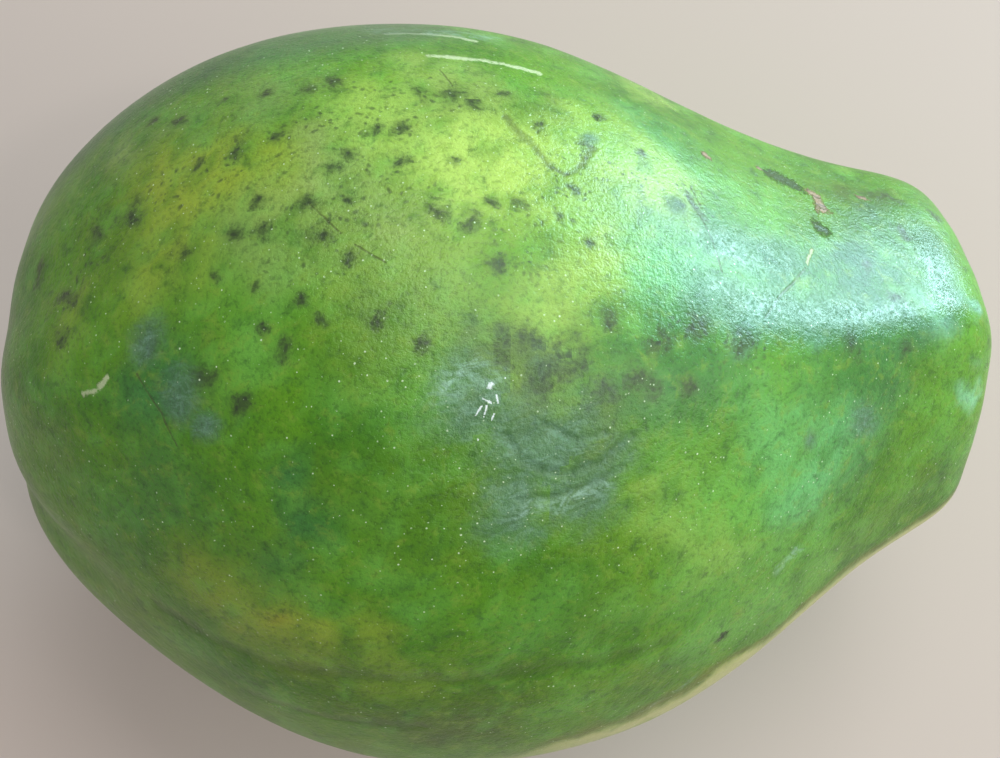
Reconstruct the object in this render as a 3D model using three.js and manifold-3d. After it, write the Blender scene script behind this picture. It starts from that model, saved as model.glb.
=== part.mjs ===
// A whole papaya lying on its side, in millimetres.
// The blossom end is at -X and the blunt stem end at +X. Five lobes run from end to end.
// The skin is one loft: a half outline gives the mean radius along the fruit, and a section
// rule adds the five ridges, the furrows between them, a pressed patch and low lumps.
import * as THREE from "three";
import { mergeVertices } from "three/addons/utils/BufferGeometryUtils.js";
import Module from "manifold-3d";

// Driving dimensions
const LOBES = 5;
const RIDGE_TILT_DEG = 14; // ridge one leans this far from straight up, towards -Y
const NECK_DROP_DEG = 10; // the fruit lies with its neck this much lower than its belly
const FOOT_CUT = 1.6; // depth of the flat spot where the fruit presses on the table

// Half outline, as control points of a smooth curve: distance from the blossom tip,
// mean radius, and sideways shift of the fruit's middle line
const HALF_OUTLINE = [
  [-1, 0, 1], // blossom tip
  [1, 4, 1],
  [-0.5, 16, 1], // broad blossom end
  [2, 29, 1],
  [12.5, 43, 1.5],
  [33, 58.5, 2],
  [59, 71.5, -2],
  [87, 72.5, -3.5], // widest part of the belly
  [115, 65.5, -5],
  [141, 52, -4], // slope down to the neck
  [163, 40, 3],
  [179.5, 34.5, 7], // blunt shoulder of the stem end
  [186, 27, 4.5],
  [187, 17, 2.5],
  [184.5, 11, 3], // hollow round the scar
  [183.5, 8, 3],
  [186, 6.5, 3], // corky scar that the stalk left
  [185.5, 0, 3],
];
const LENGTH = 187;

// Height of the ridges as a share of the radius, at the blossom end, belly and neck
const LOBE_BLOSSOM = 0.03;
const LOBE_BELLY = 0.012;
const LOBE_NECK = 0.042;

// The ridges turn a little round the fruit on their way to the stem
const TWIST_BLOSSOM_DEG = 5;
const TWIST_STEM_DEG = -9;

// Furrows between the lobes: depth near the tip and on the belly, half width, and
// how much of that depth each of the five has, counted from ridge one. They run off the
// middle of the lobes' faces, more so at the blossom tip.
const FURROW_TIP = 3.5;
const FURROW_BELLY = 0.5;
const FURROW_WIDTH = 6;
const FURROW_SHARE = [1, 0.55, 0.65, 0.8, 0.35];
const FURROW_DRIFT_TIP_DEG = 13;
const FURROW_DRIFT_BELLY_DEG = 5;

// Pressed patch on the belly: place, half sizes along and round the fruit, and depth
const PATCH_ALONG = 95;
const PATCH_ANGLE_DEG = 7;
const PATCH_HALF_LENGTH = 17;
const PATCH_HALF_WIDTH = 13;
const PATCH_DEPTH = 0.9;

// Low lumps all over
const LUMP_HEIGHT = 0.35;

// Mesh density
const COLUMNS = 60;
const ROWS = 64;
const ROW_CROWDING = 0.6; // rows crowd towards both ends, 0 for none
const MERGE_TOLERANCE = 1e-4;

const SKIN_COLOUR = 0x62992a;
const SKIN_ROUGHNESS = 0.42;

const radians = THREE.MathUtils.degToRad;
const smooth = THREE.MathUtils.smoothstep;
const mix = THREE.MathUtils.lerp;

// The half outline as a uniform cubic B-spline. Its first and last points lie on the axis,
// and the control points beside them are mirrored across it, so both ends close round.
class HalfOutline extends THREE.Curve {
  constructor(rows) {
    super();
    const mirrored = ([along, radius, shift]) => [along, -radius, shift];
    const all = [mirrored(rows[1]), ...rows, mirrored(rows.at(-2))];
    this.controls = all.map((row) => new THREE.Vector3(...row));
    this.arcLengthDivisions = 600;
  }

  getPoint(t, target = new THREE.Vector3()) {
    const spans = this.controls.length - 3;
    const span = Math.min(Math.floor(t * spans), spans - 1);
    const w = t * spans - span;
    const weights = [
      (1 - w) ** 3,
      3 * w ** 3 - 6 * w ** 2 + 4,
      -3 * w ** 3 + 3 * w ** 2 + 3 * w + 1,
      w ** 3,
    ];
    target.set(0, 0, 0);
    weights.forEach((weight, i) => {
      target.addScaledVector(this.controls[span + i], weight / 6);
    });
    return target;
  }
}

// Crisp ridges with flat faces between them: three harmonics of the lobe count
function ridges(angle) {
  const turn = LOBES * angle;
  return Math.cos(turn) + 0.25 * Math.cos(2 * turn) + 0.1 * Math.cos(3 * turn);
}

// The ridges fade out towards the axis, so that the scar and the tip are round
function lobeHeight(share, radius) {
  const belly = mix(LOBE_BLOSSOM, LOBE_BELLY, smooth(share, 0.05, 0.3));
  const height = belly + (LOBE_NECK - LOBE_BELLY) * smooth(share, 0.45, 0.85);
  return height * smooth(radius, 7, 26);
}

// Depth of the crease between two lobes, at an angle from ridge one
function furrow(angle, share, radius) {
  const lobeAngle = (2 * Math.PI) / LOBES;
  const driftShare = smooth(share, 0.06, 0.28);
  const drift = radians(mix(FURROW_DRIFT_TIP_DEG, FURROW_DRIFT_BELLY_DEG, driftShare));
  const turned = THREE.MathUtils.euclideanModulo(angle - drift, 2 * Math.PI);
  const lobe = Math.min(Math.floor(turned / lobeAngle), LOBES - 1);
  const across = ((turned - (lobe + 0.5) * lobeAngle) * radius) / FURROW_WIDTH;
  const depth = mix(FURROW_TIP, FURROW_BELLY, smooth(share, 0.03, 0.16));
  const fade = (1 - smooth(share, 0.6, 0.85)) * smooth(radius, 2, 22);
  return FURROW_SHARE[lobe] * depth * fade * Math.exp(-(across ** 2));
}

function pressedPatch(along, angle, radius) {
  const turned = Math.atan2(
    Math.sin(angle - radians(PATCH_ANGLE_DEG)),
    Math.cos(angle - radians(PATCH_ANGLE_DEG)),
  );
  const lengthwise = (along - PATCH_ALONG) / PATCH_HALF_LENGTH;
  const crosswise = (turned * radius) / PATCH_HALF_WIDTH;
  return PATCH_DEPTH * Math.exp(-(lengthwise ** 2 + crosswise ** 2));
}

function lumps(share, angle, radius) {
  const wave =
    Math.sin(2 * angle + 9 * share + 1) * Math.sin(7 * share + 2) +
    0.6 * Math.sin(3 * angle - 15 * share) +
    0.4 * Math.sin(8 * angle + 23 * share);
  return LUMP_HEIGHT * wave * smooth(radius, 5, 40);
}

// One point of the skin: u runs from the blossom tip to the stem, angle starts at ridge one
function skinPoint(outline, u, angle, target) {
  outline.getPointAt(u, target);
  const along = target.x;
  const mean = Math.max(target.y, 0);
  const shift = target.z;
  const share = along / LENGTH;
  const radius =
    mean * (1 + lobeHeight(share, mean) * ridges(angle)) -
    furrow(angle, share, mean) -
    pressedPatch(along, angle, mean) +
    lumps(share, angle, mean);
  const twist = mix(TWIST_BLOSSOM_DEG, TWIST_STEM_DEG, smooth(share, 0.15, 0.85));
  const tilt = radians(RIDGE_TILT_DEG);
  const turned = angle + radians(twist) + tilt;
  return target.set(
    along - LENGTH / 2,
    -radius * Math.sin(turned) + shift * Math.cos(tilt),
    radius * Math.cos(turned) + shift * Math.sin(tilt),
  );
}

// A sphere's grid of rows and columns is pulled onto the skin, then its seam is merged
function skinGeometry() {
  const outline = new HalfOutline(HALF_OUTLINE);
  const geometry = new THREE.SphereGeometry(1, COLUMNS, ROWS);
  const position = geometry.getAttribute("position");
  const point = new THREE.Vector3();
  for (let row = 0; row <= ROWS; row++) {
    const even = row / ROWS;
    const crowd = (ROW_CROWDING * Math.sin(2 * Math.PI * even)) / (2 * Math.PI);
    const u = THREE.MathUtils.clamp(even - crowd, 0, 1);
    for (let column = 0; column <= COLUMNS; column++) {
      const angle = (-2 * Math.PI * (column % COLUMNS)) / COLUMNS;
      skinPoint(outline, u, angle, point);
      position.setXYZ(row * (COLUMNS + 1) + column, point.x, point.y, point.z);
    }
  }
  geometry.deleteAttribute("normal");
  geometry.deleteAttribute("uv");
  geometry.rotateY(radians(NECK_DROP_DEG));
  return mergeVertices(geometry, MERGE_TOLERANCE);
}

const wasm = await Module();
wasm.setup();

function toSolid(geometry) {
  return new wasm.Manifold(
    new wasm.Mesh({
      numProp: 3,
      vertProperties: geometry.getAttribute("position").array,
      triVerts: new Uint32Array(geometry.index.array),
    }),
  );
}

function toGeometry(solid) {
  const mesh = solid.getMesh();
  return new THREE.BufferGeometry()
    .setAttribute("position", new THREE.BufferAttribute(mesh.vertProperties, 3))
    .setIndex(new THREE.BufferAttribute(mesh.triVerts, 1));
}

// Cuts the flat spot: everything below the plane goes, in a block wider than the fruit
function cutFoot(geometry) {
  geometry.computeBoundingBox();
  const box = geometry.boundingBox;
  const size = box.getSize(new THREE.Vector3());
  const block = new THREE.BoxGeometry(2 * size.x, 2 * size.y, size.z);
  block.translate(0, 0, box.min.z + FOOT_CUT - size.z / 2);
  block.deleteAttribute("normal");
  block.deleteAttribute("uv");
  return toGeometry(toSolid(geometry).subtract(toSolid(mergeVertices(block))));
}

const skin = new THREE.MeshStandardMaterial({
  color: SKIN_COLOUR,
  roughness: SKIN_ROUGHNESS,
  metalness: 0,
});

const geometry = cutFoot(skinGeometry());
geometry.computeVertexNormals();
geometry.computeBoundingBox();
const middle = geometry.boundingBox.getCenter(new THREE.Vector3());

const papaya = new THREE.Mesh(geometry, skin);
papaya.name = "papaya";
papaya.position.set(-middle.x, -middle.y, -geometry.boundingBox.min.z);

const fruit = new THREE.Group();
fruit.add(papaya);

export default fruit;
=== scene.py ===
# %% [markdown]
# # A papaya lying on a table
#
# One whole fruit, half green and half ripe, lies on its side. The packed model gives its
# place and size. This lesson grows a finer skin by the same rule, paints it with layers of
# procedural colour, and lights it as a soft window would.

# %% Load the packed model
import math

import bpy
import numpy as np
from mathutils import Matrix, Vector
from mathutils.bvhtree import BVHTree


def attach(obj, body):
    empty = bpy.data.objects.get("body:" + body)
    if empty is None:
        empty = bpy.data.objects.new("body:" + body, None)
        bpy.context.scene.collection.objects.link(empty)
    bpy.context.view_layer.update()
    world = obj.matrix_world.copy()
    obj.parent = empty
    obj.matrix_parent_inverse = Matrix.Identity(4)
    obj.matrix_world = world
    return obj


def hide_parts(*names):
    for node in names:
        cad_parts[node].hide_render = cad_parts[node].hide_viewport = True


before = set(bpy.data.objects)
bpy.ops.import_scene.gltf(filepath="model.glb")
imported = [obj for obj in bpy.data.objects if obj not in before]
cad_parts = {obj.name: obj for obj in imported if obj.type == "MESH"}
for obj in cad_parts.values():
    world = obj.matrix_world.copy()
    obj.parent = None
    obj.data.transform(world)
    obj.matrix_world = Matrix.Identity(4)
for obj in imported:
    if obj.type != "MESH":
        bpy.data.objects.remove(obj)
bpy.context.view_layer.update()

MM = 0.001

# %% [markdown]
# ## Camera
#
# The picture was taken from close above, looking almost straight down on ridge one, with
# the fruit filling the frame. The camera is placed first, because marks on the skin are
# put where the picture shows them, by casting a ray from here through a pixel.

# %% Camera
PICTURE_WIDTH = 1000
PICTURE_HEIGHT = 758
SENSOR_MM = 36.0
LENS_MM = 45.0
CAMERA_DISTANCE = 258 * MM
CAMERA_AIM = Vector((-0.1, 3.9, 68.3)) * MM
RIDGE_TILT = math.radians(14)  # ridge one leans this far from straight up, towards -Y
CAMERA_SWING = math.radians(5)  # the camera leans this far towards the stem end

back = Vector((0, -math.sin(RIDGE_TILT), math.cos(RIDGE_TILT)))
up = Vector((0, math.cos(RIDGE_TILT), math.sin(RIDGE_TILT)))


def swing(vector, angle):
    """The vector turned about +Y, stem end down for a positive angle."""
    return Vector(
        (
            vector.x * math.cos(angle) + vector.z * math.sin(angle),
            vector.y,
            -vector.x * math.sin(angle) + vector.z * math.cos(angle),
        )
    )


back = swing(back, CAMERA_SWING)
up = swing(up, CAMERA_SWING)
right = up.cross(back)

camera_data = bpy.data.cameras.new("camera")
camera_data.lens = LENS_MM
camera_data.sensor_width = SENSOR_MM
camera_data.clip_start = 0.01
camera = bpy.data.objects.new("camera", camera_data)
bpy.context.scene.collection.objects.link(camera)
camera.rotation_euler = Matrix((right, up, back)).transposed().to_euler()
camera.location = CAMERA_AIM + CAMERA_DISTANCE * back
bpy.context.scene.camera = camera
bpy.context.scene.view_settings.view_transform = "Standard"
print("camera at", [round(v, 3) for v in camera.location])

# %% [markdown]
# ## Node maths
#
# Both the shape and the skin's colours are sums of simple functions. They could be wired by
# hand, node by node, but a formula is easier to read and to change. A wire is a socket that
# Python's operators can work on, so a formula reads as it would on paper, and each operator
# adds one Math node.


# %% Node helpers
class Wire:
    """An output socket that works in Python expressions."""

    def __init__(self, graph, socket):
        self.graph = graph
        self.socket = socket

    def __getitem__(self, name):
        return Wire(self.graph, self.socket.node.outputs[name])

    def math(self, operation, *others):
        return self.graph.node("ShaderNodeMath", {"operation": operation}, [self, *others])

    def __add__(self, other):
        return self.math("ADD", other)

    def __sub__(self, other):
        return self.math("SUBTRACT", other)

    def __mul__(self, other):
        return self.math("MULTIPLY", other)

    def __truediv__(self, other):
        return self.math("DIVIDE", other)

    def __pow__(self, other):
        return self.math("POWER", other)

    def __rsub__(self, other):
        return self * -1 + other

    __radd__ = __add__
    __rmul__ = __mul__

    def sin(self):
        return self.math("SINE")

    def cos(self):
        return self.math("COSINE")

    def bell(self):
        """exp(-x * x): 1 at zero, fading to 0 on both sides."""
        return (self * self * -1).math("EXPONENT")

    def most(self, other):
        return self.math("MAXIMUM", other)

    def smooth(self, low, high, start=0.0, end=1.0):
        """Eases from start to end while this wire goes from low to high."""
        settings = {"interpolation_type": "SMOOTHSTEP"}
        return self.graph.node("ShaderNodeMapRange", settings, [self, low, high, start, end])

    def vector(self, operation, *others, out="Vector"):
        settings = {"operation": operation}
        return self.graph.node("ShaderNodeVectorMath", settings, [self, *others], out)

    def scaled(self, factor):
        inputs = {0: self, "Scale": factor}
        return self.graph.node("ShaderNodeVectorMath", {"operation": "SCALE"}, inputs)

    def split(self):
        """The X, Y and Z of a vector."""
        return self.graph.node("ShaderNodeSeparateXYZ", inputs=[self])

    def paint(self, colour, amount):
        """This colour with another laid over it, where amount is 1."""
        settings = {"data_type": "RGBA"}
        inputs = {"Factor": amount, 6: self, 7: colour}
        return self.graph.node("ShaderNodeMix", settings, inputs, out=2)


class Graph:
    """A node tree with one method that adds any node."""

    def __init__(self, tree):
        self.tree = tree

    def node(self, kind, settings=None, inputs=(), out=0):
        """Adds a node, sets its settings first, then the values or wires of its inputs."""
        node = self.tree.nodes.new(kind)
        for name, value in (settings or {}).items():
            setattr(node, name, value)
        pairs = inputs.items() if isinstance(inputs, dict) else enumerate(inputs)
        for name, value in pairs:
            if isinstance(value, Wire):
                self.tree.links.new(value.socket, node.inputs[name])
            else:
                node.inputs[name].default_value = value
        return Wire(self, node.outputs[out]) if node.outputs else node


print("a wire can:", [name for name in vars(Wire) if not name.startswith("_")])

# %% [markdown]
# ## The form
#
# A papaya has five lobes that meet in ridges, crisp on the neck and soft on the belly, with
# furrows between them that gather at the blossom tip. It could be sculpted, but its shape
# follows a rule: a half outline turned about the fruit's middle line, with a section that
# changes from end to end. The half outline is a NURBS curve, and Geometry Nodes turn it
# into the skin, so that one set of named sizes holds the whole shape.

# %% Half outline
# Control points in mm: distance from the blossom tip, mean radius, sideways shift
HALF_OUTLINE = [
    (-1, 0, 1),
    (1, 4, 1),
    (-0.5, 16, 1),
    (2, 29, 1),
    (12.5, 43, 1.5),
    (33, 58.5, 2),
    (59, 71.5, -2),
    (87, 72.5, -3.5),
    (115, 65.5, -5),
    (141, 52, -4),
    (163, 40, 3),
    (179.5, 34.5, 7),
    (186, 27, 4.5),
    (187, 17, 2.5),
    (184.5, 11, 3),
    (183.5, 8, 3),
    (186, 6.5, 3),
    (185.5, 0, 3),
]
LENGTH = 187


def mirrored(row):
    """A control point on the other side of the axis, which closes the end round."""
    along, radius, shift = row
    return along, -radius, shift


def make_outline(name):
    curve = bpy.data.curves.new(name, "CURVE")
    curve.dimensions = "3D"
    rows = [mirrored(HALF_OUTLINE[1]), *HALF_OUTLINE, mirrored(HALF_OUTLINE[-2])]
    spline = curve.splines.new("NURBS")
    spline.points.add(len(rows) - 1)
    for point, row in zip(spline.points, rows):
        point.co = (*row, 1)
    spline.order_u = 4
    spline.use_endpoint_u = False
    spline.resolution_u = 40
    outline = bpy.data.objects.new(name, curve)
    bpy.context.scene.collection.objects.link(outline)
    return outline


outline = make_outline("half_outline")
print("half outline:", len(HALF_OUTLINE), "control points")

# %% [markdown]
# ### Sizes
#
# Sizes that shape the whole fruit become named inputs of the tree, in millimetres and
# radians. They are the packed model's own sizes, so both have the same form. The skin adds
# three that are too fine for the solid: wrinkles, a slow swell and a pebbled surface.

# %% Sizes of the skin
LOBES = 5
ROWS = 310
COLUMNS = 320
ROW_CROWDING = 0.6
SIZES = {
    "Length": LENGTH,
    "Lobe at blossom": 0.03,
    "Lobe on belly": 0.012,
    "Lobe on neck": 0.042,
    "Twist at blossom": math.radians(5),
    "Twist at stem": math.radians(-9),
    "Furrow at tip": 3.5,
    "Furrow on belly": 0.5,
    "Furrow width": 6.0,
    "Furrow drift at tip": math.radians(13),
    "Furrow drift on belly": math.radians(5),
    "Patch depth": 0.9,
    "Wrinkle height": 0.22,
    "Lump height": 0.35,
    "Swell height": 0.5,
    "Pebble height": 0.05,
    "Ridge tilt": RIDGE_TILT,
    "Neck drop": math.radians(10),
    "Foot cut": 1.6,
}
FURROW_SHARE = [1, 0.55, 0.65, 0.8, 0.35]
CLOUD_SIZES = {"large_cloud": 34, "cloud": 14, "small_cloud": 5}
PATCH_ALONG = 95
PATCH_ANGLE = math.radians(7)
PATCH_HALF_LENGTH = 17
PATCH_HALF_WIDTH = 13
print("named sizes:", len(SIZES), "and a grid of", ROWS, "by", COLUMNS)


# %% [markdown]
# ### The section rule
#
# Each function below adds one kind of relief to the mean radius, in millimetres: ridges,
# furrows, a patch that something has pressed and wrinkled, and low lumps.


# %% Section rule
WRINKLE_RATE = 11  # radians of wave for each half size of the patch


def ridges(angle):
    turn = angle * LOBES
    return turn.cos() + 0.25 * (2 * turn).cos() + 0.1 * (3 * turn).cos()


def lobe_height(share, radius, size):
    blossom = size["Lobe at blossom"] - size["Lobe on belly"]
    neck = size["Lobe on neck"] - size["Lobe on belly"]
    height = size["Lobe on belly"] + blossom * share.smooth(0.05, 0.3, 1, 0)
    height = height + neck * share.smooth(0.45, 0.85)
    return height * radius.smooth(7, 26)


def wrapped(angle):
    """The same angle, between minus and plus half a turn."""
    return angle.math("WRAP", math.pi, -math.pi)


def furrows(angle, share, radius, size):
    depth = size["Furrow on belly"] + (
        size["Furrow at tip"] - size["Furrow on belly"]
    ) * share.smooth(0.03, 0.16, 1, 0)
    depth = depth * share.smooth(0.6, 0.85, 1, 0) * radius.smooth(2, 22)
    drift = size["Furrow drift on belly"] + (
        size["Furrow drift at tip"] - size["Furrow drift on belly"]
    ) * share.smooth(0.06, 0.28, 1, 0)
    drifted = angle - drift
    total = 0
    for lobe, part in enumerate(FURROW_SHARE):
        middle = (lobe + 0.5) * 2 * math.pi / LOBES
        across = wrapped(drifted - middle) * radius / size["Furrow width"]
        total = total + part * across.bell()
    return depth * total


def pressed_patch(along, angle, radius, size):
    lengthwise = (along - PATCH_ALONG) / PATCH_HALF_LENGTH
    crosswise = wrapped(angle - PATCH_ANGLE) * radius / PATCH_HALF_WIDTH
    inside = (lengthwise * lengthwise + crosswise * crosswise) * -1
    inside = inside.math("EXPONENT")
    # wrinkles bow round the patch's upper edge, like the folds of a loose skin
    bow = (lengthwise * lengthwise * 1.4 + (crosswise + 1.1) * (crosswise + 1.1)).math("SQRT")
    folds = (bow * WRINKLE_RATE).sin() * inside.smooth(0.35, 0.85)
    return size["Patch depth"] * inside - size["Wrinkle height"] * folds


def lumps(share, angle, radius, size):
    wave = (2 * angle + 9 * share + 1).sin() * (7 * share + 2).sin()
    wave = wave + 0.6 * (3 * angle - 15 * share).sin()
    wave = wave + 0.4 * (8 * angle + 23 * share).sin()
    return size["Lump height"] * wave * radius.smooth(5, 40)


print("share of furrow depth, lobe by lobe:", FURROW_SHARE)

# %% [markdown]
# ### The tree
#
# A flat grid supplies the rows and columns. Each of its points looks up the half outline at
# its row, turns by its column, and takes the section's radius. Rows crowd towards the ends,
# where the scar and the tip need them. Each point also stores what the painting needs to
# know: its place by the rule, and clouds of noise. The seam and the two poles are then
# merged, the lowest skin is pressed flat, and the fruit stands on the table by its own box.

# %% Parts of the tree
SWELL_SCALE = 0.045
PEBBLE_SCALE = 0.35
MERGE_DISTANCE = 0.01 * MM


def store_facts(graph, geometry, facts):
    """Stores each value under its name on the points of the geometry."""
    for label, value in facts.items():
        kind = "FLOAT" if label == "along" else "FLOAT_VECTOR"
        geometry = graph.node(
            "GeometryNodeStoreNamedAttribute",
            {"data_type": kind, "domain": "POINT"},
            {"Geometry": geometry, "Name": label, "Value": value},
        )
    return geometry


def stand_on_table(graph, closed, foot_cut):
    """Presses the lowest skin flat, and moves its box's middle over the origin."""
    box = graph.node("GeometryNodeBoundBox", inputs=[closed], out="Min")
    low = box.split()
    high = box["Max"].split()
    floor_height = low["Z"] + foot_cut * MM
    here = graph.node("GeometryNodeInputPosition").split()
    rested = [
        here["X"] - (low["X"] + high["X"]) / 2,
        here["Y"] - (low["Y"] + high["Y"]) / 2,
        here["Z"].most(floor_height) - floor_height,
    ]
    placed = graph.node("ShaderNodeCombineXYZ", inputs=rested)
    return graph.node(
        "GeometryNodeSetPosition", inputs={"Geometry": closed, "Position": placed}
    )


print("clouds of noise in mm:", CLOUD_SIZES)


# %% Skin tree
def skin_tree(name):
    tree = bpy.data.node_groups.new(name, "GeometryNodeTree")
    tree.is_modifier = True
    face = tree.interface
    face.new_socket("Geometry", in_out="INPUT", socket_type="NodeSocketGeometry")
    for label, value in (("Rows", ROWS), ("Columns", COLUMNS)):
        face.new_socket(label, in_out="INPUT", socket_type="NodeSocketInt").default_value = value
    for label, value in SIZES.items():
        face.new_socket(label, in_out="INPUT", socket_type="NodeSocketFloat").default_value = value
    face.new_socket("Skin", in_out="INPUT", socket_type="NodeSocketMaterial")
    face.new_socket("Geometry", in_out="OUTPUT", socket_type="NodeSocketGeometry")
    graph = Graph(tree)
    inputs = graph.node("NodeGroupInput")
    size = {label: inputs[label] for label in SIZES}

    grid = graph.node(
        "GeometryNodeMeshGrid",
        inputs={"Vertices X": inputs["Rows"] + 1, "Vertices Y": inputs["Columns"] + 1},
    )
    place = graph.node("GeometryNodeInputPosition").split()
    row = place["X"] + 0.5
    angle = (place["Y"] + 0.5) * (-2 * math.pi)
    crowded = row - ROW_CROWDING / (2 * math.pi) * (row * (2 * math.pi)).sin()
    sample = graph.node(
        "GeometryNodeSampleCurve",
        {"mode": "FACTOR"},
        {"Curves": inputs["Geometry"], "Factor": crowded},
        out="Position",
    )
    outline_point = sample.split()
    along = outline_point["X"]
    mean = outline_point["Y"].most(0)
    shift = outline_point["Z"]
    share = along / size["Length"]

    radius = mean * (1 + lobe_height(share, mean, size) * ridges(angle))
    radius = radius - furrows(angle, share, mean, size)
    radius = radius - pressed_patch(along, angle, mean, size)
    radius = radius + lumps(share, angle, mean, size)
    twist = size["Twist at blossom"] + (
        size["Twist at stem"] - size["Twist at blossom"]
    ) * share.smooth(0.15, 0.85)

    def on_section(distance):
        """The point of the fruit's own frame at that distance from its middle line."""
        turned = angle + twist + size["Ridge tilt"]
        across = shift * size["Ridge tilt"].cos() - distance * turned.sin()
        height = shift * size["Ridge tilt"].sin() + distance * turned.cos()
        axes = [along - size["Length"] / 2, across, height]
        return graph.node("ShaderNodeCombineXYZ", inputs=axes)

    smooth_point = on_section(radius)
    swell = graph.node(
        "ShaderNodeTexNoise",
        inputs={"Vector": smooth_point, "Scale": SWELL_SCALE, "Detail": 2.0},
    )
    pebble = graph.node(
        "ShaderNodeTexNoise",
        inputs={"Vector": smooth_point, "Scale": PEBBLE_SCALE, "Detail": 3.0},
    )
    relief = size["Swell height"] * (swell - 0.5) * mean.smooth(4, 25)
    relief = relief + size["Pebble height"] * (pebble - 0.5) * mean.smooth(4, 25)
    point = on_section(radius + relief)
    dropped = graph.node(
        "ShaderNodeVectorRotate",
        {"rotation_type": "Y_AXIS"},
        {"Vector": point, "Angle": size["Neck drop"]},
    )
    in_metres = dropped.scaled(MM)
    facts = {
        "along": along,
        "section": graph.node("ShaderNodeCombineXYZ", inputs=[mean, angle.sin(), angle.cos()]),
    }
    for label, feature in CLOUD_SIZES.items():
        cloud = graph.node(
            "ShaderNodeTexNoise",
            inputs={"Vector": smooth_point, "Scale": 1 / feature, "Detail": 4.0},
            out="Color",
        )
        facts[label] = cloud.vector("SUBTRACT", (0.5, 0.5, 0.5))
    marked = store_facts(graph, grid, facts)
    drawn = graph.node(
        "GeometryNodeSetPosition", inputs={"Geometry": marked, "Position": in_metres}
    )
    closed = graph.node(
        "GeometryNodeMergeByDistance", inputs={"Geometry": drawn, "Distance": MERGE_DISTANCE}
    )
    stood = stand_on_table(graph, closed, size["Foot cut"])
    smoothed = graph.node("GeometryNodeSetShadeSmooth", inputs={"Geometry": stood})
    realized = graph.node("GeometryNodeRealizeInstances", inputs={"Geometry": smoothed})
    finished = graph.node(
        "GeometryNodeSetMaterial", inputs={"Geometry": realized, "Material": inputs["Skin"]}
    )
    graph.node("NodeGroupOutput", inputs=[finished])
    return tree


tree = skin_tree("papaya_skin")
print("skin tree:", len(tree.nodes), "nodes")

# %% [markdown]
# ### From curve to skin
#
# The modifier runs on the outline curve. Its result is copied out as a plain mesh, and the
# curve goes. The finished skin's faces and box are printed.


# %% Grow the skin
def grow_skin(name, host, tree, material):
    modifier = host.modifiers.new("skin", "NODES")
    modifier.node_group = tree
    sockets = {item.name: item.identifier for item in tree.interface.items_tree}
    modifier[sockets["Skin"]] = material
    graph = bpy.context.evaluated_depsgraph_get()
    mesh = bpy.data.meshes.new_from_object(host.evaluated_get(graph), depsgraph=graph)
    mesh.name = name
    host.modifiers.remove(modifier)
    bpy.data.objects.remove(host)
    grown = bpy.data.objects.new(name, mesh)
    bpy.context.scene.collection.objects.link(grown)
    return grown


skin_material = bpy.data.materials.new("papaya_skin")
skin_material.use_nodes = True
papaya = grow_skin("papaya_skin", outline, tree, skin_material)
if papaya.data.materials[:] != [skin_material]:
    papaya.data.materials.clear()
    papaya.data.materials.append(skin_material)
corners = np.array([v.co for v in papaya.data.vertices])
skin_box = np.round([corners.min(0) / MM, corners.max(0) / MM], 2)
print("skin:", len(papaya.data.polygons), "faces, box in mm:", skin_box.tolist())

# %% [markdown]
# ## Stage and light
#
# The table is a plain pale plane, far wider than the picture, so its edge never shows.

# %% Table
TABLE_HALF = 3.0


def srgb(red, green, blue):
    """A screen colour, 0 to 255, as the linear colour that shaders use."""
    parts = [value / 255 for value in (red, green, blue)]
    linear = [((v + 0.055) / 1.055) ** 2.4 if v > 0.04045 else v / 12.92 for v in parts]
    return (*linear, 1.0)


TABLE_COLOUR = srgb(206, 191, 181)
TABLE_ROUGHNESS = 0.6
table_mesh = bpy.data.meshes.new("table_top")
table_corners = [
    (-TABLE_HALF, -TABLE_HALF, 0),
    (TABLE_HALF, -TABLE_HALF, 0),
    (TABLE_HALF, TABLE_HALF, 0),
    (-TABLE_HALF, TABLE_HALF, 0),
]
table_mesh.from_pydata(table_corners, [], [(0, 1, 2, 3)])
table = bpy.data.objects.new("table_top", table_mesh)
bpy.context.scene.collection.objects.link(table)
table_material = bpy.data.materials.new("table_top")
table_material.use_nodes = True
table_shader = table_material.node_tree.nodes["Principled BSDF"]
table_shader.inputs["Base Color"].default_value = TABLE_COLOUR
table_shader.inputs["Roughness"].default_value = TABLE_ROUGHNESS
table_mesh.materials.append(table_material)
print("table:", 2 * TABLE_HALF, "m square")

# %% [markdown]
# ### Lights
#
# Four area lights and a pale world light the fruit. A cool window stands low beyond the stem
# end, on the far side, and draws the sheen along the neck. A pale sky high beyond the fruit
# and a lighter room past its stem end shape the belly, and a small ceiling lamp gives the
# skin its points of light. A picture of a room could light it too, but each area light can
# be put where a highlight asks for it.

# %% Lights
FRUIT_MIDDLE = Vector((0, 0, 0.07))
WORLD_COLOUR = srgb(246, 246, 250)
WORLD_STRENGTH = 0.42


def area_light(name, direction, distance, size, power, colour):
    """A rectangular light that faces the fruit from the given direction."""
    data = bpy.data.lights.new(name, "AREA")
    data.shape = "RECTANGLE"
    data.size, data.size_y = size
    data.energy = power
    data.color = colour
    lamp = bpy.data.objects.new(name, data)
    direction = Vector(direction).normalized()
    lamp.location = FRUIT_MIDDLE + distance * direction
    lamp.rotation_euler = direction.to_track_quat("Z", "Y").to_euler()
    bpy.context.scene.collection.objects.link(lamp)
    print(name, "at", [round(v, 2) for v in lamp.location])


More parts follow.
